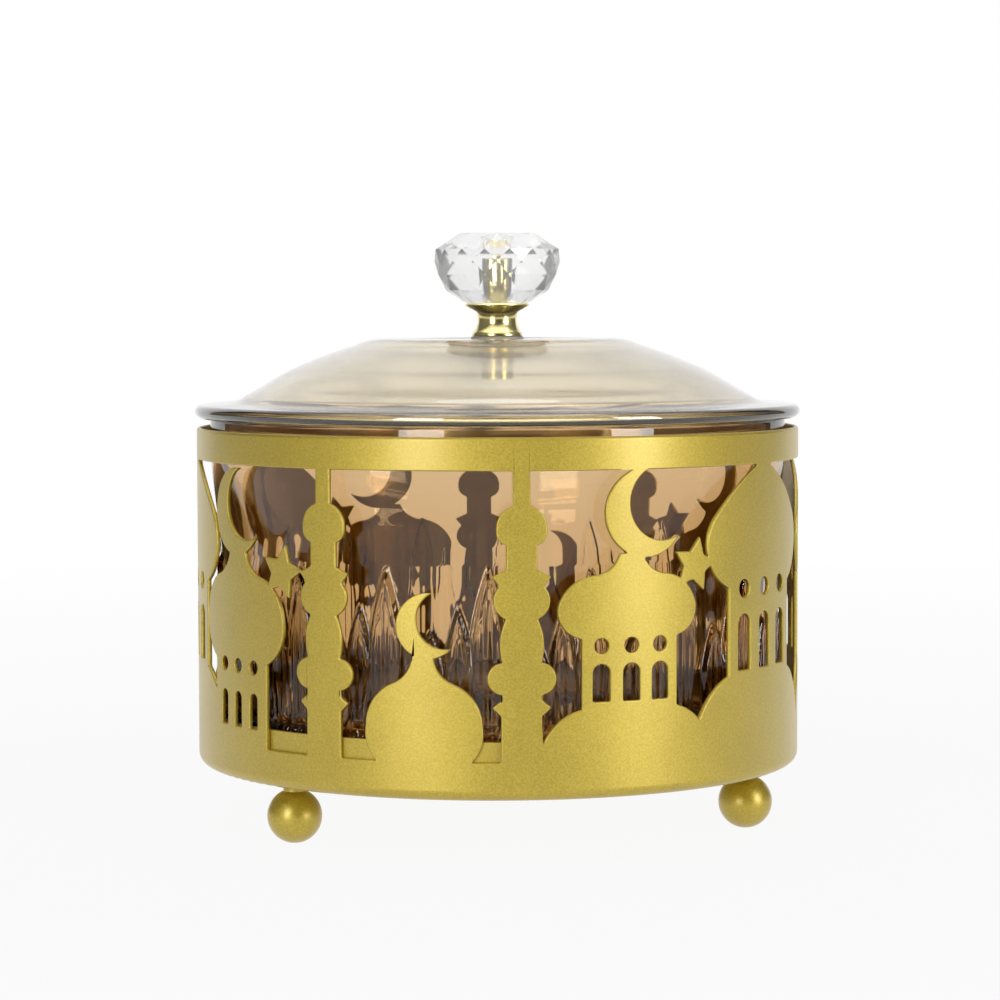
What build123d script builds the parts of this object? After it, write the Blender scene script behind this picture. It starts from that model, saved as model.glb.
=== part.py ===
"""Round snack dish in millimetres: a pierced band stand, a pressed glass bowl and a glass lid.

The origin is on the round axis at the surface that the ball feet stand on.
The front is at -Y. A bearing is measured from the front towards +X, in degrees.
"""
import os
from math import cos, degrees, radians, sin, sqrt

from build123d import *

os.makedirs("parts", exist_ok=True)

# Band stand
band_radius = 72.0
band_height = 80.0
band_sheet = 1.0
band_lip = 0.4
band_curl = 2.5
top_strip = 7.4
bottom_strip = 8.6

# Pan inside the foot of the band
pan_gap = 0.1
pan_sheet = 1.0
pan_depth = 13.0
pan_corner = 3.5

# Ball feet and their screws
foot_bearings = (-49.3, 70.7, 190.7)
foot_inset = 10.4
foot_gap = 14.0
ball_radius = 6.3
ball_flat = 1.5
foot_neck = 2.6
foot_thread = 1.5
thread_slack = 0.05
foot_thread_depth = 6.0
foot_head = 2.7
foot_head_rise = 1.7
screw_slot = 0.7
screw_slot_depth = 0.8

# Glass bowl
bowl_height = 81.2
bowl_rim_gap = 2.2
bowl_rim_wall = 3.6
bowl_wall_inset = 2.4
bowl_wall = 4.4
bowl_floor = 6.5
bowl_foot_clearance = 3.4
bowl_foot_width = 5.0
bowl_foot_rise = 2.4
bowl_round = 9.0
leaf_relief = 1.1
leaf_groups = 18
leaf_turn = -1.9
tall_leaf = 50.0
tall_leaf_width = 8.4
short_leaf = 41.5
short_leaf_width = 6.6
short_leaf_share = -0.28
low_leaf = 36.0
low_leaf_width = 7.4
low_leaf_share = 0.45
leaf_foot = 14.0
bead_ring = 1.2

# Glass lid
lid_overhang = 3.6
lid_glass = 3.0
lid_rise = 18.7
lid_crown = 28.5
lid_shoulder_inset = 8.2
lid_flat_inset = 3.8
lid_brim = 3.1
lid_fit = 0.6
lid_skirt_drop = 3.5
lid_skirt_wall = 3.0

# Knob, its seals and its screw
knob_hole = 2.6
seal_radius = 6.3
seal_top = 0.4
seal_under = 1.0
washer_radius = 6.0
washer_sheet = 0.8
stem_foot = 6.0
stem_foot_edge = 0.8
stem_waist = 4.7
stem_neck = 5.0
stem_height = 6.0
cup_floor = 1.0
cup_wall = 0.8
cup_cover = 0.7
crystal_sides = 16
crystal_foot = 5.2
crystal_tiers = ((8.4, 1.6), (12.2, 4.1), (14.3, 7.8), (15.0, 11.0), (15.0, 13.9), (9.0, 17.7))
pin_radius = 2.8
pin_height = 12.0
glue_gap = 0.1
knob_thread = 2.0
knob_thread_depth = 6.0
knob_head = 3.9
knob_head_rise = 2.8

# Ornament, drawn once for a 72 mm band with 64 mm between its two strips
drawn_radius = 72.0
drawn_window = 64.0
repeats = 2
prism_reach = 6.0
prism_overrun = 1.0
strip_lap = 0.5
foot_lap = 1.0
minaret_places = (-41.1, 5.3)
small_dome_place = -16.8
crescent_dome_place = 30.5
corner_dome_place = -70.1
pointed_dome_places = (73.0, 123.5)
star_places = ((-53.5, 40.5), (47.6, 42.3))
star_tips = 5
star_radius = 6.4
star_notch = 3.3
star_tilt = -12.0
crescent_dome_lights = {"pitch": 7.2, "round_up": 25.3, "round_radius": 1.7}
crescent_dome_arches = {"arch_half": 2.05, "arch_foot": 13.0, "arch_top": 21.3}
corner_dome_lights = {"pitch": 6.5, "round_up": 18.2, "round_radius": 1.6}
corner_dome_arches = {"arch_half": 1.5, "arch_foot": 4.2, "arch_top": 12.2}
pointed_dome_lights = {"pitch": 8.7, "round_up": 36.0, "round_radius": 2.05}
pointed_dome_arches = {"arch_half": 2.45, "arch_foot": 17.4, "arch_top": 30.2}

# Radii that follow the band
pan_radius = band_radius - band_sheet - pan_gap
foot_circle = band_radius - foot_inset
bowl_rim_radius = band_radius - band_sheet - bowl_rim_gap
bowl_wall_radius = bowl_rim_radius - bowl_wall_inset
bowl_inside = bowl_wall_radius - bowl_wall
bowl_foot_radius = foot_circle - foot_head - bowl_foot_clearance
lid_radius = bowl_rim_radius + lid_overhang
lid_shoulder = bowl_rim_radius - lid_shoulder_inset
lid_flat_start = bowl_rim_radius - lid_flat_inset

# Levels above the standing surface
band_foot = foot_gap
band_top = band_foot + band_height
pan_floor = band_foot + pan_sheet
bowl_top = pan_floor + bowl_height
lid_top = bowl_top + lid_rise
stem_seat = lid_top + seal_top
cup_seat = stem_seat + stem_height
crystal_seat = cup_seat + cup_floor
lid_ceiling = lid_top - lid_glass
washer_seat = lid_ceiling - seal_under
screw_seat = washer_seat - washer_sheet
ball_centre = sqrt(ball_radius**2 - ball_flat**2)

# Scales that fit the drawn ornament to the band
spread = band_radius / drawn_radius
rise = (band_height - top_strip - bottom_strip) / drawn_window


def facing(bearing, distance, level):
    """A plane that faces outwards at a bearing, with its x axis along the band and its y axis up."""
    turn = radians(bearing)
    outwards = (sin(turn), -cos(turn), 0)
    origin = (distance * outwards[0], distance * outwards[1], level)
    return Plane(origin=origin, x_dir=(cos(turn), sin(turn), 0), z_dir=outwards)


def at(along, up):
    """A point of the drawn ornament, with heights from the bottom strip's upper edge."""
    return (along * spread, bottom_strip + up * rise)


def ornament_plane(start, place):
    """The plane of a motif that stands at a drawn distance along the band from a bearing."""
    bearing = start + degrees(place / drawn_radius)
    return facing(bearing, band_radius - prism_reach, band_foot)


def minaret_outline():
    """A slim tower from strip to strip, with a bulb, two nubs and three swellings."""
    with BuildSketch() as outline:
        with BuildLine():
            Polyline(at(0, drawn_window + strip_lap), at(1.9, drawn_window + strip_lap), at(1.9, 56.4))
            ThreePointArc(at(1.9, 56.4), at(4.8, 54.3), at(5.6, 51.0))
            ThreePointArc(at(5.6, 51.0), at(5.1, 49.0), at(3.4, 47.8))
            Polyline(at(3.4, 47.8), at(3.4, 42.4), at(6.5, 40.9), at(4.9, 38.8))
            ThreePointArc(at(4.9, 38.8), at(6.2, 34.9), at(3.5, 31.6))
            ThreePointArc(at(3.5, 31.6), at(4.9, 26.2), at(4.3, 22.0))
            ThreePointArc(at(4.3, 22.0), at(7.6, 18.9), at(4.6, 15.0))
            Polyline(at(4.6, 15.0), at(4.6, 13.6), at(6.5, 12.1), at(4.6, 10.3), at(4.6, -foot_lap))
            Line(at(4.6, -foot_lap), at(0, -foot_lap))
            mirror(about=Plane.YZ)
        make_face()
    return outline.sketch


def onion_outline(neck, neck_top, belly, belly_up, foot, foot_up):
    """An onion dome: a hollow sweep under the neck, a full belly and a drawn-in foot."""
    swell = belly - neck
    fall = neck_top - belly_up
    tuck = belly - foot
    lift = belly_up - foot_up
    shoulder = at(neck + 0.41 * swell, belly_up + 0.6 * fall)
    with BuildSketch() as outline:
        with BuildLine():
            Line(at(0, neck_top), at(neck, neck_top))
            ThreePointArc(at(neck, neck_top), at(neck + 0.14 * swell, belly_up + 0.74 * fall), shoulder)
            ThreePointArc(shoulder, at(neck + 0.83 * swell, belly_up + 0.37 * fall), at(belly, belly_up))
            drawn_in = at(foot + 0.78 * tuck, foot_up + 0.36 * lift)
            ThreePointArc(at(belly, belly_up), drawn_in, at(foot, foot_up))
            Line(at(foot, foot_up), at(0, foot_up))
            mirror(about=Plane.YZ)
        make_face()
    return outline.sketch


def pointed_outline(tip, belly, belly_up, foot, foot_up):
    """A broad dome whose point runs into the top strip."""
    fall = drawn_window - belly_up
    shoulder = at(0.89 * belly, belly_up + 0.37 * fall)
    with BuildSketch() as outline:
        with BuildLine():
            Polyline(at(0, drawn_window + strip_lap), at(tip, drawn_window + strip_lap), at(tip, 63.6))
            ThreePointArc(at(tip, 63.6), at(0.545 * belly, belly_up + 0.72 * fall), shoulder)
            ThreePointArc(shoulder, at(0.985 * belly, belly_up + 0.17 * fall), at(belly, belly_up))
            drawn_in = at(0.93 * belly, 0.5 * (belly_up + foot_up))
            ThreePointArc(at(belly, belly_up), drawn_in, at(foot, foot_up))
            Line(at(foot, foot_up), at(0, foot_up))
            mirror(about=Plane.YZ)
        make_face()
    return outline.sketch


def tower_outline(half_width, top_up):
    with BuildSketch() as outline:
        with BuildLine():
            Polyline(at(0, top_up), at(half_width, top_up), at(half_width, -foot_lap), at(0, -foot_lap))
            mirror(about=Plane.YZ)
        make_face()
    return outline.sketch


def mound_outline(top_half, top_up, foot_half):
    """A round hill at the foot of a tower."""
    with BuildSketch() as outline:
        with BuildLine():
            Line(at(0, top_up), at(top_half, top_up))
            flank = at(0.62 * foot_half + 0.38 * top_half, 0.72 * top_up)
            ThreePointArc(at(top_half, top_up), flank, at(foot_half, -foot_lap))
            Line(at(foot_half, -foot_lap), at(0, -foot_lap))
            mirror(about=Plane.YZ)
        make_face()
    return outline.sketch


def crescent_outline(along, foot_up, outer, bite, bite_along, bite_up):
    """A moon that stands on foot_up: a disc less a second disc set to one side."""
    middle = (at(along, foot_up)[0], at(0, foot_up)[1] + outer * spread)
    hollow = (middle[0] + bite_along * spread, middle[1] + bite_up * spread)
    with BuildSketch() as outline:
        with Locations(middle):
            Circle(outer * spread)
        with Locations(hollow):
            Circle(bite * spread, mode=Mode.SUBTRACT)
    return outline.sketch


def star_outline(up):
    with BuildSketch() as outline:
        with BuildLine():
            corners = []
            for corner in range(2 * star_tips):
                reach = (star_notch if corner % 2 else star_radius) * spread
                turn = radians(90 + star_tilt + 180 * corner / star_tips)
                corners.append((reach * cos(turn), at(0, up)[1] + reach * sin(turn)))
            Polyline(*corners, close=True)
        make_face()
    return outline.sketch


def window_outline(pitch, round_up, round_radius, arch_half, arch_foot, arch_top):
    """Three round lights over three arched windows."""
    with BuildSketch() as outline:
        for column in (-1, 0, 1):
            with Locations(at(column * pitch, round_up)):
                Circle(round_radius * spread)
            spring = at(0, arch_top)[1] - arch_half * spread
            sill = at(0, arch_foot)[1]
            with Locations((column * pitch * spread, spring)):
                Circle(arch_half * spread)
            with Locations((column * pitch * spread, (spring + sill) / 2)):
                Rectangle(2 * arch_half * spread, spring - sill)
    return outline.sketch


def raised(start, place, outline, mode=Mode.ADD):
    """Adds one motif to the open part, or cuts it out, as a prism that crosses the sheet."""
    with BuildSketch(ornament_plane(start, place)) as motif:
        add(outline)
    extrude(motif.sketch, amount=prism_reach + prism_overrun, mode=mode)


def add_motifs(start):
    """One run of the ornament, from a bearing."""
    for place in minaret_places:
        raised(start, place, minaret_outline())
    raised(start, small_dome_place, onion_outline(2.4, 23.5, 13.3, 8.0, 10.2, -0.6))
    raised(start, small_dome_place, crescent_outline(1.2, 22.7, 7.3, 6.5, 3.9, 1.4))
    raised(start, crescent_dome_place, onion_outline(2.8, 45.6, 17.0, 33.9, 11.7, 27.0))
    raised(start, crescent_dome_place, tower_outline(11.7, 27.1))
    raised(start, crescent_dome_place, mound_outline(11.7, 11.4, 21.0))
    raised(start, crescent_dome_place, crescent_outline(3.7, 44.5, 10.0, 8.4, 4.4, 2.1))
    raised(start, corner_dome_place, onion_outline(3.3, 45.0, 16.9, 29.7, 11.4, 19.2))
    raised(start, corner_dome_place, tower_outline(11.4, 19.3))
    raised(start, corner_dome_place, crescent_outline(-0.6, 43.4, 10.0, 8.4, 4.4, 2.1))
    for place in pointed_dome_places:
        raised(start, place, pointed_outline(3.5, 21.3, 45.6, 14.3, 36.4))
        raised(start, place, tower_outline(14.3, 36.5))
        raised(start, place, mound_outline(14.3, 16.4, 25.0))
    for place, up in star_places:
        raised(start, place, star_outline(up))


def cut_windows(start):
    crescent_dome_windows = window_outline(**crescent_dome_lights, **crescent_dome_arches)
    raised(start, crescent_dome_place, crescent_dome_windows, mode=Mode.SUBTRACT)
    corner_dome_windows = window_outline(**corner_dome_lights, **corner_dome_arches)
    raised(start, corner_dome_place, corner_dome_windows, mode=Mode.SUBTRACT)
    pointed_dome_windows = window_outline(**pointed_dome_lights, **pointed_dome_arches)
    for place in pointed_dome_places:
        raised(start, place, pointed_dome_windows, mode=Mode.SUBTRACT)


with BuildPart() as stand_band:
    for top, drop in ((band_top, top_strip), (band_foot + bottom_strip, bottom_strip)):
        with BuildSketch(Plane.XY.offset(top - drop)):
            Circle(band_radius + prism_overrun)
            Circle(band_radius - prism_reach, mode=Mode.SUBTRACT)
        extrude(amount=drop)
    for run in range(repeats):
        add_motifs(run * 360 / repeats)
    for run in range(repeats):
        cut_windows(run * 360 / repeats)
    with BuildSketch(Plane.XZ):
        with BuildLine():
            inner = band_radius - band_sheet
            lip = min(band_lip, 0.45 * band_sheet)
            curl_end = band_radius - band_curl
            curl_level = band_foot + band_curl
            RadiusArc((curl_end, band_foot), (band_radius, curl_level), -band_curl)
            Polyline(
                (band_radius, curl_level),
                (band_radius, band_top - lip),
                (band_radius - lip, band_top),
                (inner, band_top),
                (inner, curl_level),
            )
            RadiusArc((inner, curl_level), (curl_end, band_foot + band_sheet), band_curl - band_sheet)
            Line((curl_end, band_foot + band_sheet), (curl_end, band_foot))
        make_face()
    revolve(axis=Axis.Z, mode=Mode.INTERSECT)
stand_band.part.label = "stand_band"
export_step(stand_band.part, "parts/stand_band.step")

with BuildPart() as base_pan:
    with BuildSketch(Plane.XZ):
        with BuildLine():
            bend = pan_corner + pan_sheet
            flat = pan_radius - bend
            pan_inside = pan_radius - pan_sheet
            Polyline((0, pan_floor), (0, band_foot), (flat, band_foot))
            RadiusArc((flat, band_foot), (pan_radius, band_foot + bend), -bend)
            Polyline(
                (pan_radius, band_foot + bend),
                (pan_radius, band_foot + pan_depth),
                (pan_inside, band_foot + pan_depth),
                (pan_inside, band_foot + bend),
            )
            RadiusArc((pan_inside, band_foot + bend), (flat, pan_floor), pan_corner)
            Line((flat, pan_floor), (0, pan_floor))
        make_face()
    revolve(axis=Axis.Z)
    for bearing in foot_bearings:
        spot = facing(bearing, foot_circle, band_foot).origin
        with Locations(Plane.XY.offset(pan_floor)):
            with Locations((spot.X, spot.Y)):
                Hole(foot_thread + 2 * thread_slack, depth=2 * pan_sheet)
base_pan.part.label = "base_pan"
export_step(base_pan.part, "parts/base_pan.step")

foot_names = ("foot_left", "foot_right", "foot_back")
neck_start = ball_centre + sqrt(ball_radius**2 - foot_neck**2)
for name, bearing in zip(foot_names, foot_bearings):
    spot = facing(bearing, foot_circle, 0).origin
    upright = Plane(origin=(spot.X, spot.Y, 0), x_dir=(1, 0, 0), z_dir=(0, -1, 0))
    with BuildPart() as foot:
        with BuildSketch(upright):
            with BuildLine():
                Line((0, 0), (ball_flat, 0))
                ThreePointArc((ball_flat, 0), (ball_radius, ball_centre), (foot_neck, neck_start))
                Polyline((foot_neck, neck_start), (foot_neck, foot_gap), (0, foot_gap), (0, 0))
            make_face()
        revolve(axis=Axis((spot.X, spot.Y, 0), (0, 0, 1)))
        with Locations((spot.X, spot.Y, foot_gap)):
            Hole(foot_thread + thread_slack, depth=foot_thread_depth)
    foot.part.label = name
    export_step(foot.part, f"parts/{name}.step")


def slotted_head(centre, seat, radius, height, direction):
    """A pan head on its seat, with a driver slot across its face."""
    with BuildSketch(Plane(origin=(centre[0], centre[1], seat), z_dir=(0, 0, direction))) as head:
        Circle(radius)
    extrude(head.sketch, amount=height)
    face_level = seat + direction * height
    with BuildSketch(Plane(origin=(centre[0], centre[1], face_level), z_dir=(0, 0, -direction))) as slot:
        Rectangle(3 * radius, screw_slot)
    extrude(slot.sketch, amount=screw_slot_depth, mode=Mode.SUBTRACT)


with BuildPart() as foot_screws:
    for bearing in foot_bearings:
        spot = facing(bearing, foot_circle, 0).origin
        shank = foot_thread_depth - 1
        with BuildSketch(Plane(origin=(spot.X, spot.Y, foot_gap - shank), z_dir=(0, 0, 1))):
            Circle(foot_thread)
        extrude(amount=shank + pan_sheet)
        slotted_head((spot.X, spot.Y), pan_floor, foot_head, foot_head_rise, 1)
foot_screws.part.label = "foot_screws"
export_step(foot_screws.part, "parts/foot_screws.step")

bowl_seat = pan_floor
leaf_top = bowl_seat + tall_leaf
neck_level = bowl_top - 3 * bowl_rim_wall
belly_level = bowl_seat + bowl_foot_rise + bowl_round
with BuildPart() as glass_bowl:
    with BuildSketch(Plane.XZ):
        with BuildLine():
            foot_inner = bowl_foot_radius - bowl_foot_width
            rim_round = bowl_rim_wall / 4
            shoulder = bowl_wall_radius - bowl_round
            Polyline(
                (0, bowl_seat + bowl_foot_rise),
                (foot_inner, bowl_seat + bowl_foot_rise),
                (foot_inner, bowl_seat),
                (bowl_foot_radius, bowl_seat),
                (bowl_foot_radius, bowl_seat + bowl_foot_rise),
                (shoulder, bowl_seat + bowl_foot_rise),
            )
            RadiusArc((shoulder, bowl_seat + bowl_foot_rise), (bowl_wall_radius, belly_level), -bowl_round)
            Polyline(
                (bowl_wall_radius, belly_level),
                (bowl_wall_radius, leaf_top),
                (bowl_rim_radius, neck_level),
                (bowl_rim_radius, bowl_top - rim_round),
                (bowl_rim_radius - rim_round, bowl_top),
                (bowl_rim_radius - bowl_rim_wall + rim_round, bowl_top),
                (bowl_rim_radius - bowl_rim_wall, bowl_top - rim_round),
                (bowl_rim_radius - bowl_rim_wall, neck_level),
                (bowl_inside, leaf_top),
                (bowl_inside, bowl_seat + bowl_floor + bowl_round),
            )
            RadiusArc(
                (bowl_inside, bowl_seat + bowl_floor + bowl_round),
                (bowl_inside - bowl_round, bowl_seat + bowl_floor),
                bowl_round,
            )
            Polyline(
                (bowl_inside - bowl_round, bowl_seat + bowl_floor),
                (0, bowl_seat + bowl_floor),
                (0, bowl_seat + bowl_foot_rise),
            )
        make_face()
    revolve(axis=Axis.Z)
glass_bowl_wall = glass_bowl.part


def leaf_outline(width, height):
    """A pointed leaf that stands on the bead ring."""
    half = width / 2
    foot = leaf_foot - bowl_foot_rise
    with BuildSketch() as outline:
        with BuildLine():
            Line((0, foot), (0.62 * half, foot))
            ThreePointArc((0.62 * half, foot), (half, foot + 0.42 * (height - foot)), (0, height))
            mirror(about=Plane.YZ)
        make_face()
    return outline.sketch


with BuildPart() as leaves:
    for group in range(leaf_groups):
        for share, width, height in (
            (0, tall_leaf_width, tall_leaf),
            (short_leaf_share, short_leaf_width, short_leaf),
            (low_leaf_share, low_leaf_width, low_leaf),
        ):
            bearing = leaf_turn + (group + share) * 360 / leaf_groups
            with BuildSketch(facing(bearing, bowl_inside, bowl_seat)):
                add(leaf_outline(width, height))
            extrude(amount=bowl_wall + 2 * leaf_relief)
    with BuildSketch(Plane.XY.offset(bowl_seat)):
        Circle(bowl_wall_radius + leaf_relief)
        Circle(bowl_wall_radius - 0.5 * bowl_wall, mode=Mode.SUBTRACT)
    extrude(amount=tall_leaf + bowl_round, mode=Mode.INTERSECT)

with BuildPart() as pressed_bowl:
    add(glass_bowl_wall)
    add(leaves.part)
    with BuildSketch(Plane.XY.offset(bowl_seat + leaf_foot - bowl_foot_rise - bead_ring)):
        Circle(bowl_wall_radius + leaf_relief)
        Circle(bowl_wall_radius - 0.5 * bowl_wall, mode=Mode.SUBTRACT)
    extrude(amount=2 * bead_ring)
pressed_bowl.part.label = "glass_bowl"
export_step(pressed_bowl.part, "parts/glass_bowl.step")

brim_top = bowl_top + lid_brim
skirt_outer = bowl_rim_radius - bowl_rim_wall - lid_fit
skirt_inner = skirt_outer - lid_skirt_wall
lid_fall = lid_rise - lid_brim
slope_shares = ((0.0, 0.0, 0), (0.24, 0.14, 17), (0.61, 0.43, 23), (0.87, 0.72, 30), (1.0, 0.875, 33))
slope_top = []
slope_under = []
for across, down, tilt in slope_shares:
    point = (lid_crown + across * (lid_shoulder - lid_crown), lid_top - down * lid_fall)
    slope_top.append(point)
    turn = radians(tilt)
    slope_under.append((point[0] - lid_glass * sin(turn), point[1] - lid_glass * cos(turn)))
level_way = (1, 0)
steep_way = (cos(turn), -sin(turn))
flat_start = (lid_flat_start, brim_top + 0.35)
brim_way = (1, -0.06)
with BuildPart() as glass_lid:
    with BuildSketch(Plane.XZ):
        with BuildLine():
            edge = lid_brim / 2
            Line((0, lid_top), slope_top[0])
            Spline(*slope_top, tangents=(level_way, steep_way))
            Spline(slope_top[-1], flat_start, tangents=(steep_way, brim_way))
            Line(flat_start, (lid_radius - edge, brim_top))
            brim_edge = (lid_radius, brim_top - edge)
            ThreePointArc((lid_radius - edge, brim_top), brim_edge, (lid_radius - edge, bowl_top))
            Polyline(
                (lid_radius - edge, bowl_top),
                (skirt_outer, bowl_top),
                (skirt_outer, bowl_top - lid_skirt_drop),
                (skirt_inner, bowl_top - lid_skirt_drop),
                (skirt_inner, bowl_top),
                slope_under[-1],
            )
            Spline(*slope_under, tangents=(level_way, steep_way))
            Polyline(slope_under[0], (0, lid_ceiling), (0, lid_top))
        make_face()
    revolve(axis=Axis.Z)
    with Locations((0, 0, lid_top)):
        Hole(knob_hole, depth=lid_glass)
glass_lid.part.label = "glass_lid"
export_step(glass_lid.part, "parts/glass_lid.step")


def ring(level, outer, bore, height):
    """A flat ring that rests on a level."""
    with BuildSketch(Plane.XY.offset(level)) as washer:
        Circle(outer)
        Circle(bore, mode=Mode.SUBTRACT)
    extrude(washer.sketch, amount=height)


with BuildPart() as stem_seal:
    ring(lid_top, seal_radius, knob_thread + thread_slack, seal_top)
stem_seal.part.label = "stem_seal"
export_step(stem_seal.part, "parts/stem_seal.step")

with BuildPart() as lid_seal:
    ring(washer_seat, seal_radius, knob_thread + thread_slack, seal_under)
lid_seal.part.label = "lid_seal"
export_step(lid_seal.part, "parts/lid_seal.step")

with BuildPart() as steel_washer:
    ring(screw_seat, washer_radius, knob_thread + thread_slack, washer_sheet)
steel_washer.part.label = "steel_washer"
export_step(steel_washer.part, "parts/steel_washer.step")

screw_tip = stem_seat + knob_thread_depth - 1
with BuildPart() as knob_screw:
    with BuildSketch(Plane.XY.offset(screw_seat)):
        Circle(knob_thread)
    extrude(amount=screw_tip - screw_seat)
    slotted_head((0, 0), screw_seat, knob_head, knob_head_rise, -1)
knob_screw.part.label = "knob_screw"
export_step(knob_screw.part, "parts/knob_screw.step")

lap_radius, lap_rise = crystal_tiers[0]
cup_rim = (
    crystal_foot + cup_cover * (lap_radius - crystal_foot),
    crystal_seat - glue_gap + cup_cover * lap_rise,
)
with BuildPart() as knob_stem:
    with BuildSketch(Plane.XZ):
        with BuildLine():
            foot_top = (stem_foot, stem_seat + stem_foot_edge)
            waist = (stem_waist, stem_seat + 0.6 * stem_height)
            neck = (stem_neck, cup_seat)
            Polyline((0, stem_seat), (stem_foot, stem_seat), foot_top)
            ThreePointArc(foot_top, waist, neck)
            Polyline(
                neck,
                (cup_rim[0] + 0.5 * cup_wall, cup_rim[1] - 0.6 * cup_wall),
                cup_rim,
                (crystal_foot, crystal_seat - glue_gap),
                (pin_radius, crystal_seat - glue_gap),
                (pin_radius, crystal_seat + pin_height),
                (0, crystal_seat + pin_height),
                (0, stem_seat),
            )
        make_face()
    revolve(axis=Axis.Z)
    with BuildSketch(Plane.XY.offset(stem_seat)):
        Circle(knob_thread + thread_slack)
    extrude(amount=knob_thread_depth, mode=Mode.SUBTRACT)
knob_stem.part.label = "knob_stem"
export_step(knob_stem.part, "parts/knob_stem.step")

tiers = [(crystal_foot, crystal_seat)]
for radius, height in crystal_tiers:
    tiers.append((radius, crystal_seat + height))
with BuildPart() as knob_crystal:
    for lower, upper in zip(tiers, tiers[1:]):
        for radius, level in (lower, upper):
            with BuildSketch(Plane.XY.offset(level)):
                RegularPolygon(radius, crystal_sides)
        loft(ruled=True)
    with BuildSketch(Plane.XY.offset(crystal_seat)):
        Circle(pin_radius + glue_gap)
    extrude(amount=pin_height + glue_gap, mode=Mode.SUBTRACT)
knob_crystal.part.label = "knob_crystal"
export_step(knob_crystal.part, "parts/knob_crystal.step")
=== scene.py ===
"""Looks of the lidded snack dish: a gold band stand, a pressed amber bowl, a smoke lid and a crystal knob.

Lengths are in millimetres, and MM turns them into Blender's metres.
"""
from math import cos, hypot, pi, radians, sin, tan

import bmesh
import bpy
import numpy as np
from mathutils import Matrix, Vector


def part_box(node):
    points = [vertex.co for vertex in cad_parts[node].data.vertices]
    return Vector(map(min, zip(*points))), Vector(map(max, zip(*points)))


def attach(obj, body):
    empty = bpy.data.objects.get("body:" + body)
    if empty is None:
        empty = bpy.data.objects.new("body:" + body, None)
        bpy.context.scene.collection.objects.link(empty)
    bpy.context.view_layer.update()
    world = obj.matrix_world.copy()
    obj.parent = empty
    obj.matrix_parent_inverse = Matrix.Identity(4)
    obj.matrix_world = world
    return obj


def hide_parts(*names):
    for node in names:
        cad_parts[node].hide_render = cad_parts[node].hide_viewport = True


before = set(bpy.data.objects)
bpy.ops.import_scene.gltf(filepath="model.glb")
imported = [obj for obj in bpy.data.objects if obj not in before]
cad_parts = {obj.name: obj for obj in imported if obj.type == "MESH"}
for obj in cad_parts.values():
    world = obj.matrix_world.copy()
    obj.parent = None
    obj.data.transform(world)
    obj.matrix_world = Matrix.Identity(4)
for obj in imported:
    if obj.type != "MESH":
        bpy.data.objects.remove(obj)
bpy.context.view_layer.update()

MM = 0.001

# Glass bowl
bowl_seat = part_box("glass_bowl")[0].z / MM
bowl_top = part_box("glass_bowl")[1].z / MM
rim_radius = 68.8
rim_wall = 3.6
rim_round = 0.9
wall_radius = 66.4
wall_glass = 4.4
floor_glass = 6.5
foot_ring_radius = 55.5
foot_ring_width = 5.0
foot_ring_rise = 2.4
bowl_round = 9.0
leaf_relief = 1.1
leaf_groups = 18
leaf_turn = -1.9
tall_leaf = (0.0, 50.0, 8.4)
short_leaf = (-0.28, 41.5, 6.6)
low_leaf = (0.45, 36.0, 7.4)
leaf_foot = 14.0
leaf_waist = 0.42
rib_pairs = 2.0
bead_radius = 1.2
bead_count = 168
leaf_row = 0.8
leaf_narrowing = 0.38
leaf_pointing = 1.8
leaf_edge = 0.7
leaf_rim_inset = 0.8
leaf_rim_width = 0.6
leaf_hollow_inset = 1.2
leaf_hollow_edge = 1.0
leaf_body_share, leaf_rim_share, leaf_rib_share = 0.4, 0.6, 0.35
foot_round = 0.6
neck_round = 4
neck_drop = 3 * rim_wall
bowl_segments = 960

# Glass lid
lid_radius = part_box("glass_lid")[1].x / MM
lid_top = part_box("glass_lid")[1].z / MM
lid_glass = 3.0
lid_crown = 28.5
lid_shoulder = 60.6
lid_flat_start = 65.0
lid_flat_rise = 0.35
lid_brim = 3.1
lid_skirt_gap = 0.6
lid_skirt_drop = 3.5
lid_skirt_wall = 3.0
slope_shares = ((0.0, 0.0, 0), (0.24, 0.14, 17), (0.61, 0.43, 23), (0.87, 0.72, 30), (1.0, 0.875, 33))
lid_under_shoulder = (-1.6, -2.6)
lid_segments = 256
knob_hole = 2.6

# Knob
stem_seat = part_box("knob_stem")[0].z / MM
crystal_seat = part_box("knob_crystal")[0].z / MM
stem_foot = 6.0
stem_foot_edge = 0.8
stem_waist = 4.7
stem_neck = 5.0
stem_height = 6.0
stem_steps = 12
stem_segments = 96
cup_wall = 0.8
cup_cover = 0.7
screw_bore = 2.05
screw_depth = 6.0
crystal_sides = 16
crystal_foot = 5.2
crystal_tiers = ((8.4, 1.6), (12.2, 4.1), (14.3, 7.8), (15.0, 11.0), (15.0, 13.9), (9.0, 17.7))
pin_radius = 2.8
pin_height = 12.0
glue_gap = 0.1

# Band
band_edge_round = 0.3
band_edge_steps = 2
band_weld = 0.005
cut_angle = 40
cusp_angle = 30
band_sheet = 1.0
band_curl = 2.5
sheet_slack = 0.03
band_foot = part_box("stand_band")[0].z / MM
band_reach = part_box("stand_band")[1].x

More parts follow.
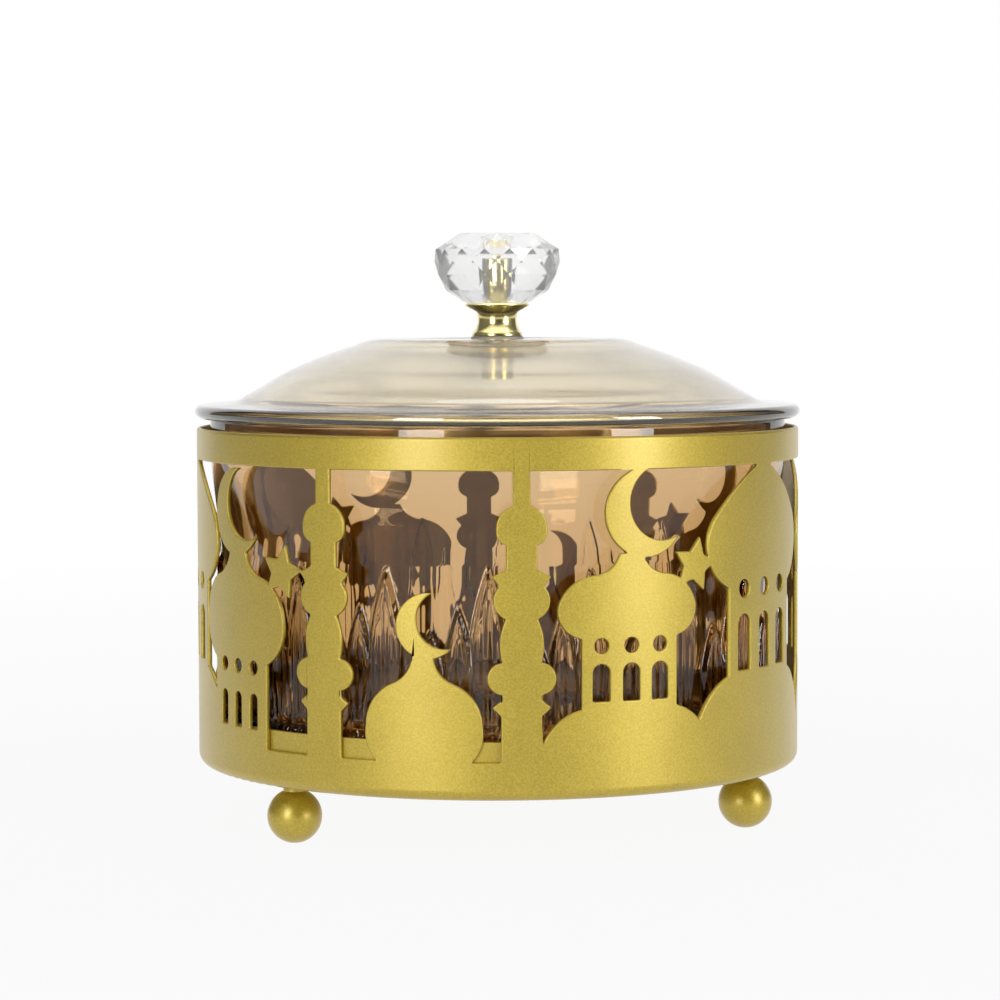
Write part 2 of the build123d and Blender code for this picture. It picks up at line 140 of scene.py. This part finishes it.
# Room, in metres and watts. The floor's share of plain white grows from near to far, as (distance, share).
# The grey cards in front and at the sides are seen by reflections alone.
floor_grey = 0.4
floor_near = (0.15, 0.93)
floor_far = (0.8, 1.0)
room_light = 0.36
side_lamps = (("lamp_left", -29, 12), ("lamp_right", 53, 12.5))
side_lamp_size = (0.5, 0.9)
lamp_distance = 1.6
lamp_level = 0.45
top_lamp_place = (0.0, 0.1, 1.4)
top_lamp_aim = (0, 0, 0.1)
top_lamp_size = (1.0, 1.0)
top_lamp_power = 5
wall_cards = (
    ("card_front", (0, -2.4, 0.9), 0, (4.4, 2.4), 0.1),
    ("card_left", (-1.5, -0.4, 0.7), 90, (4.0, 1.8), 0.3),
    ("card_right", (1.5, -0.4, 0.7), 90, (4.0, 1.8), 0.3),
)

# Camera, found from the two edges of the round band in the photograph
camera_place = (0.00055, -0.75315, 0.12164)
camera_pitch = 3.466
camera_roll = -0.1415
camera_lens = 112.79
camera_sensor = 36.0


def mesh_object(name, points, faces, smooth=True):
    """A new mesh object from points in millimetres."""
    mesh = bpy.data.meshes.new(name)
    mesh.from_pydata([(x * MM, y * MM, z * MM) for x, y, z in points], [], faces)
    whole = bmesh.new()
    whole.from_mesh(mesh)
    bmesh.ops.recalc_face_normals(whole, faces=whole.faces)
    whole.to_mesh(mesh)
    whole.free()
    mesh.polygons.foreach_set("use_smooth", [smooth] * len(mesh.polygons))
    piece = bpy.data.objects.new(name, mesh)
    bpy.context.scene.collection.objects.link(piece)
    return piece


def lathe(name, profile, segments, relief=None):
    """Turns a profile of (radius, height) points about the Z axis.

    A profile that starts and ends on the axis is closed there, and any other one is closed on itself.
    relief(turn, radius, height) gives how far each point is pushed outwards.
    """
    on_axis = profile[0][0] == 0
    rings = profile[1:-1] if on_axis else profile
    turn = np.arange(segments)[None, :] * 2 * pi / segments
    radius = np.array([ring[0] for ring in rings])[:, None] + 0 * turn
    height = np.array([ring[1] for ring in rings])[:, None] + 0 * turn
    reach = radius if relief is None else radius + relief(turn + 0 * radius, radius, height)
    points = np.stack([reach * np.sin(turn), -reach * np.cos(turn), height], axis=-1).reshape(-1, 3).tolist()
    faces = []
    for row in range(len(rings) - 1 if on_axis else len(rings)):
        here = row * segments
        above = (row + 1) % len(rings) * segments
        for step in range(segments):
            ahead = (step + 1) % segments
            faces.append((here + step, here + ahead, above + ahead, above + step))
    if on_axis:
        last = (len(rings) - 1) * segments
        points.append((0, 0, profile[0][1]))
        points.append((0, 0, profile[-1][1]))
        for step in range(segments):
            ahead = (step + 1) % segments
            faces.append((step, ahead, len(points) - 2))
            faces.append((last + step, last + ahead, len(points) - 1))
    return mesh_object(name, points, faces)


def rounded(corners, steps=5):
    """The (radius, height) points along corners given as (radius, height, rounding)."""
    points = [corners[0][:2]]
    for before, corner, after in zip(corners, corners[1:], corners[2:]):
        here = Vector(corner[:2])
        back = Vector(before[:2]) - here
        ahead = Vector(after[:2]) - here
        reach = min(corner[2], 0.49 * back.length, 0.49 * ahead.length)
        if reach <= 0:
            points.append(tuple(here))
            continue
        start = here + back.normalized() * reach
        end = here + ahead.normalized() * reach
        for step in range(steps + 1):
            share = step / steps
            points.append(tuple(start * (1 - share) ** 2 + here * 2 * share * (1 - share) + end * share**2))
    points.append(corners[-1][:2])
    return points


def between(start, end, step):
    """Points of a straight run, both ends included, about a step apart."""
    count = max(1, round((Vector(end) - Vector(start)).length / step))
    return [tuple(Vector(start).lerp(Vector(end), number / count)) for number in range(count + 1)]


def arc(centre, radius, start, end, steps=8):
    """Points of an arc, with angles in degrees from the outward direction."""
    angles = [radians(start + (end - start) * step / steps) for step in range(steps + 1)]
    return [(centre[0] + radius * cos(angle), centre[1] + radius * sin(angle)) for angle in angles]


# Materials


def new_material(name):
    material = bpy.data.materials.new(name)
    material.use_nodes = True
    nodes = material.node_tree.nodes
    return material, nodes, material.node_tree.links, nodes["Principled BSDF"]


def noise(nodes, links, scale, detail=2.0, stretch=(1, 1, 1)):
    """A noise that is fixed to the piece, with its scale in grains per metre."""
    place = nodes.new("ShaderNodeTexCoord")
    mapping = nodes.new("ShaderNodeMapping")
    mapping.inputs["Scale"].default_value = stretch
    texture = nodes.new("ShaderNodeTexNoise")
    texture.inputs["Scale"].default_value = scale
    texture.inputs["Detail"].default_value = detail
    links.new(place.outputs["Object"], mapping.inputs["Vector"])
    links.new(mapping.outputs["Vector"], texture.inputs["Vector"])
    return texture.outputs["Fac"]


def ramp(nodes, links, source, stops):
    """A colour ramp over a texture, from (place, colour) stops."""
    node = nodes.new("ShaderNodeValToRGB")
    node.color_ramp.elements[0].position, node.color_ramp.elements[1].position = stops[0][0], stops[-1][0]
    node.color_ramp.elements[0].color = (*stops[0][1], 1)
    node.color_ramp.elements[1].color = (*stops[-1][1], 1)
    for place, colour in stops[1:-1]:
        node.color_ramp.elements.new(place).color = (*colour, 1)
    links.new(source, node.inputs["Fac"])
    return node.outputs["Color"]


def spread_of(nodes, links, source, low, high):
    """A texture's middle half mapped to a range of values."""
    node = nodes.new("ShaderNodeMapRange")
    node.inputs["From Min"].default_value = 0.3
    node.inputs["From Max"].default_value = 0.7
    node.inputs["To Min"].default_value = low
    node.inputs["To Max"].default_value = high
    links.new(source, node.inputs["Value"])
    return node.outputs["Result"]


def bumped(nodes, links, source, shader, strength, depth):
    """Bump of a depth in millimetres."""
    node = nodes.new("ShaderNodeBump")
    node.inputs["Strength"].default_value = strength
    node.inputs["Distance"].default_value = depth * MM
    links.new(source, node.inputs["Height"])
    links.new(node.outputs["Normal"], shader.inputs["Normal"])


def gold_paint():
    """Metallic spray paint: a fine sparkle of lighter flakes over slow mottling."""
    material, nodes, links, shader = new_material("gold_paint")
    flakes = noise(nodes, links, 2400, 3)
    mottle = noise(nodes, links, 60, 2)
    grain = ramp(nodes, links, flakes, ((0.36, (0.49, 0.355, 0.022)), (0.66, (0.62, 0.47, 0.055))))
    tone = ramp(nodes, links, mottle, ((0.35, (0.93, 0.92, 0.90)), (0.65, (1.0, 1.0, 1.0))))
    blend = nodes.new("ShaderNodeMix")
    blend.data_type = "RGBA"
    blend.blend_type = "MULTIPLY"
    blend.inputs["Factor"].default_value = 1.0
    links.new(grain, blend.inputs["A"])
    links.new(tone, blend.inputs["B"])
    links.new(blend.outputs["Result"], shader.inputs["Base Color"])
    shader.inputs["Metallic"].default_value = 0.6
    shader.inputs["Coat Weight"].default_value = 0.7
    shader.inputs["Coat IOR"].default_value = 1.55
    shader.inputs["Coat Roughness"].default_value = 0.28
    links.new(spread_of(nodes, links, flakes, 0.40, 0.50), shader.inputs["Roughness"])
    bumped(nodes, links, flakes, shader, 0.35, 0.02)
    return material


def glass(name, tint, density, roughness, wave_depth, lustre=0.0, clarity=1.0, shine=0.5):
    """Glass with its colour held in its thickness, slow waves on its faces and a shiny coat by its lustre."""
    material, nodes, links, shader = new_material(name)
    shader.inputs["Base Color"].default_value = (1, 1, 1, 1)
    shader.inputs["Transmission Weight"].default_value = clarity
    shader.inputs["IOR"].default_value = 1.5
    shader.inputs["Specular IOR Level"].default_value = shine
    shader.inputs["Coat Weight"].default_value = lustre
    shader.inputs["Coat IOR"].default_value = 1.8
    waves = noise(nodes, links, 45, 1)
    links.new(spread_of(nodes, links, waves, 0.4 * roughness, roughness), shader.inputs["Roughness"])
    bumped(nodes, links, waves, shader, 0.4, wave_depth)
    inside = nodes.new("ShaderNodeVolumeAbsorption")
    inside.inputs["Color"].default_value = (*tint, 1)
    inside.inputs["Density"].default_value = density
    links.new(inside.outputs["Volume"], nodes["Material Output"].inputs["Volume"])
    return material


def polished_gold():
    """Bright gold plate with faint smudges."""
    material, nodes, links, shader = new_material("gold_plate")
    smudge = noise(nodes, links, 220, 3)
    colour = ramp(nodes, links, smudge, ((0.3, (0.84, 0.70, 0.28)), (0.7, (0.93, 0.82, 0.42))))
    links.new(colour, shader.inputs["Base Color"])
    shader.inputs["Metallic"].default_value = 1
    links.new(spread_of(nodes, links, smudge, 0.18, 0.28), shader.inputs["Roughness"])
    return material


def plated_steel():
    """Steel plate with fine scratches along the Z axis."""
    material, nodes, links, shader = new_material("steel")
    scratches = noise(nodes, links, 700, 2, (1, 1, 12))
    colour = ramp(nodes, links, scratches, ((0.3, (0.50, 0.49, 0.47)), (0.7, (0.66, 0.65, 0.63))))
    links.new(colour, shader.inputs["Base Color"])
    shader.inputs["Metallic"].default_value = 1
    links.new(spread_of(nodes, links, scratches, 0.22, 0.36), shader.inputs["Roughness"])
    bumped(nodes, links, scratches, shader, 0.3, 0.01)
    return material


def silicone():
    """Pale, slightly clear rubber for the seals."""
    material, nodes, links, shader = new_material("seal")
    grain = noise(nodes, links, 1500, 2)
    colour = ramp(nodes, links, grain, ((0.3, (0.62, 0.59, 0.55)), (0.7, (0.72, 0.69, 0.65))))
    links.new(colour, shader.inputs["Base Color"])
    shader.inputs["Transmission Weight"].default_value = 0.3
    links.new(spread_of(nodes, links, grain, 0.45, 0.6), shader.inputs["Roughness"])
    bumped(nodes, links, grain, shader, 0.3, 0.02)
    return material


# Band


def cusp_edges(cut_edges):
    """Cut edges that meet another in a narrow nick, where a bevel would run away along the sheet."""
    chosen = set(cut_edges)
    found = set()
    for line in cut_edges:
        for point in line.verts:
            ahead = line.other_vert(point).co - point.co
            for other in point.link_edges:
                if other is line or other not in chosen:
                    continue
                if ahead.angle(other.other_vert(point).co - point.co) < radians(cusp_angle):
                    found.add(line)
    return found


def shade_sheet(mesh):
    """Normals straight out of the round sheet, and weighted by area along its cut edges."""
    points = np.empty(3 * len(mesh.vertices))
    mesh.vertices.foreach_get("co", points)
    points = points.reshape(-1, 3)
    corners = np.empty(len(mesh.loops), dtype=int)
    mesh.loops.foreach_get("vertex_index", corners)
    corners = corners.reshape(-1, 3)
    first, second, third = (points[corners[:, side]] for side in range(3))
    slopes = np.cross(second - first, third - first)
    normals = np.zeros_like(points)
    for side in range(3):
        np.add.at(normals, corners[:, side], slopes)
    normals /= np.maximum(np.linalg.norm(normals, axis=1, keepdims=True), 1e-20)
    reach = np.hypot(points[:, 0], points[:, 1])
    outwards = points * (1, 1, 0) / reach[:, None]
    wall = points[:, 2] > (band_foot + band_curl) * MM
    outside = wall & (reach > band_reach - sheet_slack * MM)
    inside = wall & (reach < band_reach - (band_sheet - sheet_slack) * MM)
    normals[outside] = outwards[outside]
    normals[inside] = -outwards[inside]
    mesh.normals_split_custom_set_from_vertices(normals.tolist())


def build_band(material):
    """The CAD band with its cut edges rounded, as thick paint leaves them."""
    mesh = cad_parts["stand_band"].data.copy()
    mesh.materials.clear()
    whole = bmesh.new()
    whole.from_mesh(mesh)
    bmesh.ops.remove_doubles(whole, verts=whole.verts, dist=band_weld * MM)
    cut_edges = [line for line in whole.edges if line.calc_face_angle(0) > radians(cut_angle)]
    cusps = cusp_edges(cut_edges)
    bmesh.ops.bevel(
        whole,
        geom=[line for line in cut_edges if line not in cusps],
        offset=band_edge_round * MM,
        offset_type="OFFSET",
        segments=band_edge_steps,
        profile=0.5,
        affect="EDGES",
        miter_outer="ARC",
    )
    for point in whole.verts:
        reach = hypot(point.co.x, point.co.y)
        if reach > band_reach:
            point.co.xy *= band_reach / reach
    bmesh.ops.triangulate(whole, faces=whole.faces)
    whole.to_mesh(mesh)
    whole.free()
    mesh.polygons.foreach_set("use_smooth", [True] * len(mesh.polygons))
    shade_sheet(mesh)
    band = bpy.data.objects.new("pierced_band", mesh)
    bpy.context.scene.collection.objects.link(band)
    band.data.materials.append(material)
    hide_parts("stand_band")
    return band


# Glass bowl


def leaf_field(turn, height, leaf):
    """How high the pressed leaves of one kind stand, from 0 to 1, and 0 between them."""
    offset, tip, width = leaf
    pitch = 2 * pi / leaf_groups
    sideways = wall_radius * np.abs(((turn - radians(leaf_turn)) / pitch - offset + 0.5) % 1 - 0.5) * pitch
    share = (height - bowl_seat - leaf_foot) / (tip - leaf_foot)
    lower = 1 - leaf_narrowing * ((leaf_waist - share) / leaf_waist) ** 2
    upper = 1 - np.clip((share - leaf_waist) / (1 - leaf_waist), 0, 1) ** leaf_pointing
    half = np.where(share < leaf_waist, lower, upper) * width / 2
    depth = np.where((share > 0) & (share < 1), half - sideways, -1)
    body = np.clip(depth / leaf_edge, 0, 1)
    rim = np.exp(-(((depth - leaf_rim_inset) / leaf_rim_width) ** 2))
    ribs = 0.5 + 0.5 * np.cos(2 * pi * rib_pairs * sideways / np.maximum(half, 1e-3))
    hollow = np.clip((depth - leaf_hollow_inset) / leaf_hollow_edge, 0, 1)
    rise = leaf_body_share + leaf_rim_share * rim + leaf_rib_share * ribs * hollow
    return np.where(depth > 0, body * rise, 0)


def pressed_relief(turn, radius, height):
    """Leaves in two tiers over a row of beads, on the outside of the wall only."""
    leaves = np.maximum.reduce([leaf_field(turn, height, leaf) for leaf in (tall_leaf, short_leaf, low_leaf)])
    bead_pitch = 2 * pi / bead_count
    along = wall_radius * np.abs((turn / bead_pitch) % 1 - 0.5) * bead_pitch
    up = height - (bowl_seat + leaf_foot - foot_ring_rise)
    beads = np.sqrt(np.clip(1 - (along**2 + up**2) / bead_radius**2, 0, 1))
    outside = radius > wall_radius - 0.5 * wall_glass
    return np.where(outside, leaf_relief * np.clip(np.maximum(leaves, beads), 0, 1), 0)


def build_bowl(material):
    """The bowl turned from its foot ring up the relief to the rim, and down its inside to the floor."""
    inside = wall_radius - wall_glass
    floor = bowl_seat + floor_glass
    foot_top = bowl_seat + foot_ring_rise
    foot_inner = foot_ring_radius - foot_ring_width
    belly = foot_top + bowl_round
    leaf_top = bowl_seat + tall_leaf[1]
    neck = bowl_top - neck_drop
    foot = rounded(
        [
            (0, foot_top, 0),
            (foot_inner, foot_top, foot_round),
            (foot_inner, bowl_seat, foot_round),
            (foot_ring_radius, bowl_seat, foot_round),
            (foot_ring_radius, foot_top, 0.5),
            (wall_radius - bowl_round, foot_top, 0),
        ]
    )
    outer_corner = arc((wall_radius - bowl_round, belly), bowl_round, -90, 0, 14)[1:]
    wall = between((wall_radius, belly), (wall_radius, leaf_top + 1), leaf_row)[1:]
    rim = rounded(
        [
            (wall_radius, leaf_top + 1, 0),
            (rim_radius, neck, neck_round),
            (rim_radius, bowl_top, rim_round),
            (rim_radius - rim_wall, bowl_top, rim_round),
            (rim_radius - rim_wall, neck, neck_round),
            (inside, leaf_top, neck_round),
            (inside, floor + bowl_round, 0),
        ],
        4,
    )[1:]
    inner_corner = arc((inside - bowl_round, floor + bowl_round), bowl_round, 0, -90, 8)[1:]
    profile = foot + outer_corner + wall + rim + inner_corner + [(0, floor)]
    bowl = lathe("pressed_bowl", profile, bowl_segments, pressed_relief)
    bowl.data.materials.append(material)
    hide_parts("glass_bowl")
    return bowl


# Glass lid


def slope_points(steps=6):
    """The lid's upper curve as (radius, height, slope), from crown to brim, and its shoulder's number."""
    brim_top = bowl_top + lid_brim
    fall = lid_top - brim_top
    knots = [
        (lid_crown + across * (lid_shoulder - lid_crown), lid_top - down * fall, -tan(radians(tilt)))
        for across, down, tilt in slope_shares
    ]
    knots.append((lid_flat_start, brim_top + lid_flat_rise, -0.06))
    curve = []
    for (x0, y0, s0), (x1, y1, s1) in zip(knots, knots[1:]):
        run = x1 - x0
        for step in range(steps):
            t = step / steps
            height = (2 * t**3 - 3 * t**2 + 1) * y0 + (t**3 - 2 * t**2 + t) * run * s0
            height += (3 * t**2 - 2 * t**3) * y1 + (t**3 - t**2) * run * s1
            slope = (6 * t**2 - 6 * t) * (y0 - y1) / run
            slope += (3 * t**2 - 4 * t + 1) * s0 + (3 * t**2 - 2 * t) * s1
            curve.append((x0 + t * run, height, slope))
    return curve, steps * (len(slope_shares) - 1)


def build_lid(material):
    """The lid turned from its knob hole over the crown and brim to the skirt, and back under the crown."""
    curve, shoulder = slope_points()
    skirt_outer = rim_radius - rim_wall - lid_skirt_gap
    skirt_inner = skirt_outer - lid_skirt_wall
    brim_top = bowl_top + lid_brim
    edge = lid_brim / 2
    top = [(knob_hole, lid_top)] + [(radius, height) for radius, height, _ in curve]
    brim = [(lid_flat_start, brim_top + lid_flat_rise)]
    brim += arc((lid_radius - edge, bowl_top + edge), edge, 90, -90, 12)
    skirt = rounded(
        [
            (lid_radius - edge, bowl_top, 0),
            (skirt_outer, bowl_top, 0.5),
            (skirt_outer, bowl_top - lid_skirt_drop, 1),
            (skirt_inner, bowl_top - lid_skirt_drop, 1),
            (skirt_inner, bowl_top, 1.5),
            (curve[shoulder][0] + lid_under_shoulder[0], curve[shoulder][1] + lid_under_shoulder[1], 0),
        ]
    )[1:-1]
    under = []
    for radius, height, slope in reversed(curve[: shoulder + 1]):
        size = (1 + slope**2) ** 0.5
        under.append((radius + lid_glass * slope / size, height - lid_glass / size))
    profile = top + brim + skirt + under + [(knob_hole, lid_top - lid_glass)]
    lid = lathe("smoke_lid", profile, lid_segments)
    lid.data.materials.append(material)
    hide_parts("glass_lid")
    return lid


# Knob


def build_crystal(material):
    """Rings of points, each turned half a side and joined by triangles, with a bore for the pin."""
    rings = [(crystal_foot, 0)] + list(crystal_tiers)
    points = []
    faces = []
    for number, (radius, rise) in enumerate(rings):
        for side in range(crystal_sides):
            turn = 2 * pi * (side + 0.5 * (number % 2)) / crystal_sides
            points.append((radius * cos(turn), radius * sin(turn), crystal_seat + rise))
    for number in range(len(rings) - 1):
        low = number * crystal_sides
        high = low + crystal_sides
        lead = number % 2
        for side in range(crystal_sides):
            ahead = (side + 1) % crystal_sides
            if lead:
                faces.append((low + side, high + ahead, high + side))
                faces.append((low + side, low + ahead, high + ahead))
            else:
                faces.append((low + side, low + ahead, high + side))
                faces.append((low + ahead, high + ahead, high + side))
    table = (len(rings) - 1) * crystal_sides
    faces.append(tuple(range(table, table + crystal_sides)))
    bore = pin_radius + glue_gap
    bore_low = len(points)
    bore_high = bore_low + crystal_sides
    for rise in (0, pin_height + glue_gap):
        for side in range(crystal_sides):
            turn = 2 * pi * side / crystal_sides
            points.append((bore * cos(turn), bore * sin(turn), crystal_seat + rise))
    for side in range(crystal_sides):
        ahead = (side + 1) % crystal_sides
        faces.append((side, ahead, bore_low + ahead, bore_low + side))
        faces.append((bore_low + side, bore_low + ahead, bore_high + ahead, bore_high + side))
    faces.append(tuple(range(bore_high, bore_high + crystal_sides)))
    crystal = mesh_object("cut_crystal", points, faces, smooth=False)
    crystal.data.materials.append(material)
    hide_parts("knob_crystal")
    return crystal


def build_stem(material):
    """A waisted stem with a cup for the crystal, a pin inside it and a bore for the screw."""
    cup_seat = stem_seat + stem_height
    lap_radius, lap_rise = crystal_tiers[0]
    cup_radius = crystal_foot + cup_cover * (lap_radius - crystal_foot)
    cup_rim = crystal_seat - glue_gap + cup_cover * lap_rise
    hollow = (stem_foot + stem_neck) / 2 - stem_waist
    waist = []
    for step in range(stem_steps + 1):
        share = step / stem_steps
        radius = stem_foot + (stem_neck - stem_foot) * share - 4 * hollow * share * (1 - share)
        waist.append((radius, stem_seat + stem_foot_edge + share * (stem_height - stem_foot_edge)))
    cup = rounded(
        [
            (stem_neck, cup_seat, 0),
            (cup_radius + 0.5 * cup_wall, cup_rim - 0.6 * cup_wall, 0.3),
            (cup_radius, cup_rim, 0.1),
            (crystal_foot, crystal_seat - glue_gap, 0.1),
            (pin_radius, crystal_seat - glue_gap, 0.2),
            (pin_radius, crystal_seat + pin_height, 0.4),
            (0, crystal_seat + pin_height, 0),
        ]
    )[1:]
    bore_top = stem_seat + screw_depth
    base = rounded(
        [
            (0, bore_top, 0),
            (screw_bore, bore_top, 0),
            (screw_bore, stem_seat, 0.2),
            (stem_foot, stem_seat, 0.3),
            (*waist[0], 0),
        ]
    )[:-1]
    stem = lathe("polished_stem", base + waist + cup, stem_segments)
    stem.data.materials.append(material)
    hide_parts("knob_stem")
    return stem


# Room


def seen_directly(nodes, links):
    """1 for what is seen straight, in metal or through glass, and 0 for what only lights the object."""
    path = nodes.new("ShaderNodeLightPath")
    first = nodes.new("ShaderNodeMath")
    first.operation = "ADD"
    total = nodes.new("ShaderNodeMath")
    total.operation = "ADD"
    total.use_clamp = True
    links.new(path.outputs["Is Camera Ray"], first.inputs[0])
    links.new(path.outputs["Is Glossy Ray"], first.inputs[1])
    links.new(first.outputs[0], total.inputs[0])
    links.new(path.outputs["Is Transmission Ray"], total.inputs[1])
    return total.outputs[0]


def build_floor():
    """A pale floor that takes the object's shadow and fades to the white of the world farther away."""
    bpy.ops.mesh.primitive_plane_add(size=12, location=(0, 2, 0))
    floor = bpy.context.object
    floor.name = "floor"
    material, nodes, links, shader = new_material("floor")
    shader.inputs["Base Color"].default_value = (floor_grey, floor_grey, floor_grey, 1)
    shader.inputs["Roughness"].default_value = 0.9
    share = nodes.new("ShaderNodeMath")
    share.operation = "MULTIPLY"
    spot = nodes.new("ShaderNodeNewGeometry")
    distance = nodes.new("ShaderNodeVectorMath")
    distance.operation = "LENGTH"
    fade = nodes.new("ShaderNodeMapRange")
    for side, (reach, white_share) in (("Min", floor_near), ("Max", floor_far)):
        fade.inputs["From " + side].default_value = reach
        fade.inputs["To " + side].default_value = white_share
    links.new(spot.outputs["Position"], distance.inputs[0])
    links.new(distance.outputs["Value"], fade.inputs["Value"])
    links.new(fade.outputs["Result"], share.inputs[1])
    white = nodes.new("ShaderNodeEmission")
    mix = nodes.new("ShaderNodeMixShader")
    links.new(seen_directly(nodes, links), share.inputs[0])
    links.new(share.outputs[0], mix.inputs["Fac"])
    links.new(shader.outputs["BSDF"], mix.inputs[1])
    links.new(white.outputs["Emission"], mix.inputs[2])
    links.new(mix.outputs["Shader"], nodes["Material Output"].inputs["Surface"])
    floor.data.materials.append(material)


def build_cards():
    """Plain grey cards that only reflections see, as a photographer stands them round a shiny thing."""
    for name, place, turn, size, grey in wall_cards:
        bpy.ops.mesh.primitive_plane_add(size=1, location=place, rotation=(radians(90), 0, radians(turn)))
        card = bpy.context.object
        card.name = name
        card.scale = (*size, 1)
        card.visible_camera = False
        material, _, _, shader = new_material(name)
        shader.inputs["Base Color"].default_value = (grey, grey, grey, 1)
        shader.inputs["Roughness"].default_value = 1
        card.data.materials.append(material)


def build_world():
    """A world that is plain white to the eye and lights the object softly."""
    world = bpy.data.worlds.new("world")
    bpy.context.scene.world = world
    world.use_nodes = True
    nodes = world.node_tree.nodes
    links = world.node_tree.links
    strength = nodes.new("ShaderNodeMapRange")
    strength.inputs["To Min"].default_value = room_light
    links.new(seen_directly(nodes, links), strength.inputs["Value"])
    nodes["Background"].inputs["Color"].default_value = (1, 1, 1, 1)
    links.new(strength.outputs["Result"], nodes["Background"].inputs["Strength"])


def lamp(name, place, aim, size, power):
    """A soft rectangular lamp at a place, turned to a point."""
    data = bpy.data.lights.new(name, "AREA")
    data.shape = "RECTANGLE"
    data.size, data.size_y = size
    data.energy = power
    light = bpy.data.objects.new(name, data)
    light.location = place
    light.rotation_euler = (Vector(aim) - Vector(place)).to_track_quat("-Z", "Y").to_euler()
    bpy.context.scene.collection.objects.link(light)


def build_camera():
    """The camera at the photograph's place, looking slightly down."""
    data = bpy.data.cameras.new("camera")
    data.sensor_width = camera_sensor
    data.lens = camera_lens
    camera = bpy.data.objects.new("camera", data)
    tilt = Matrix.Rotation(radians(90 - camera_pitch), 4, "X")
    roll = Matrix.Rotation(radians(camera_roll), 4, "Z")
    camera.matrix_world = Matrix.Translation(camera_place) @ tilt @ roll
    bpy.context.scene.collection.objects.link(camera)
    bpy.context.scene.camera = camera


def dress(node, material):
    """Gives a CAD node its material."""
    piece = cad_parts[node]
    piece.data.materials.clear()
    piece.data.materials.append(material)


gold = gold_paint()
amber = glass("amber_glass", (0.76, 0.48, 0.0), 195, 0.02, 0.12, shine=0.25)
smoke = glass("smoke_glass", (0.68, 0.52, 0.05), 88, 0.14, 0.08, lustre=0.6)
clear = glass("crystal", (0.95, 0.97, 0.98), 3, 0.16, 0.02, clarity=0.88)
plate = polished_gold()
steel = plated_steel()
seal = silicone()

for node in ("base_pan", "foot_left", "foot_right", "foot_back"):
    dress(node, gold)
for node in ("foot_screws", "steel_washer"):
    dress(node, steel)
for node in ("stem_seal", "lid_seal"):
    dress(node, seal)
dress("knob_screw", plate)

for piece, body, slot in (
    (build_band(gold), "stand", "gold_paint"),
    (build_bowl(amber), "bowl", "amber_glass"),
    (build_lid(smoke), "lid", "smoke_glass"),
    (build_crystal(clear), "lid", "crystal"),
    (build_stem(plate), "lid", "gold_plate"),
):
    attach(piece, body)

build_floor()
build_cards()
build_world()
for name, bearing, power in side_lamps:
    place = (lamp_distance * sin(radians(bearing)), -lamp_distance * cos(radians(bearing)), lamp_level)
    lamp(name, place, (0, 0, lamp_level), side_lamp_size, power)
lamp("lamp_top", top_lamp_place, top_lamp_aim, top_lamp_size, top_lamp_power)
build_camera()
bpy.context.scene.view_settings.view_transform = "Standard"
